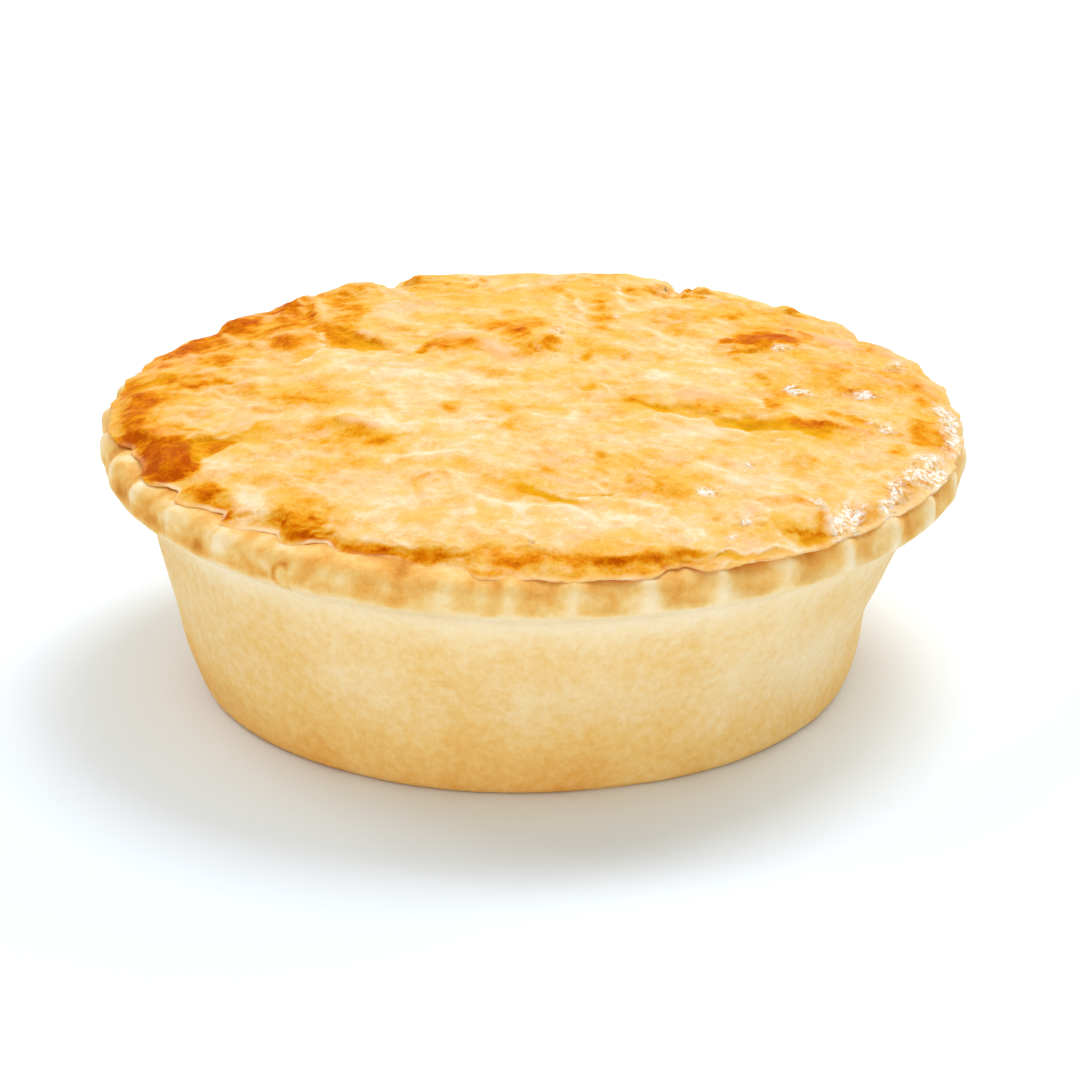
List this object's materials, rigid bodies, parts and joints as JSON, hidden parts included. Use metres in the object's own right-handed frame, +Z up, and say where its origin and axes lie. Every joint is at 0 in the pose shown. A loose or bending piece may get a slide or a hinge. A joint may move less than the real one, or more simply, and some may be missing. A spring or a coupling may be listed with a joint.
{
  "type": "beef pie",
  "caption": "Round individual savoury pie: a smooth short-crust case with a fluted rim, closed by a domed, glazed puff-pastry lid.",
  "frame": {"origin": "middle of the pie's outline, at the surface that its base rests on", "axes": "+Z up through the lid, -Y the side that faces the viewer in the picture, +X to the viewer's right"},
  "size_m": [0.1146, 0.1147, 0.0406],
  "materials": {
    "short_crust": "matt, floury baked short-crust pastry",
    "puff_crust": "egg-glazed golden puff pastry, browned in patches"
  },
  "bodies": {
    "root": {"pastry_case": "short_crust", "puff_lid": "puff_crust"}
  },
  "joints": []
}
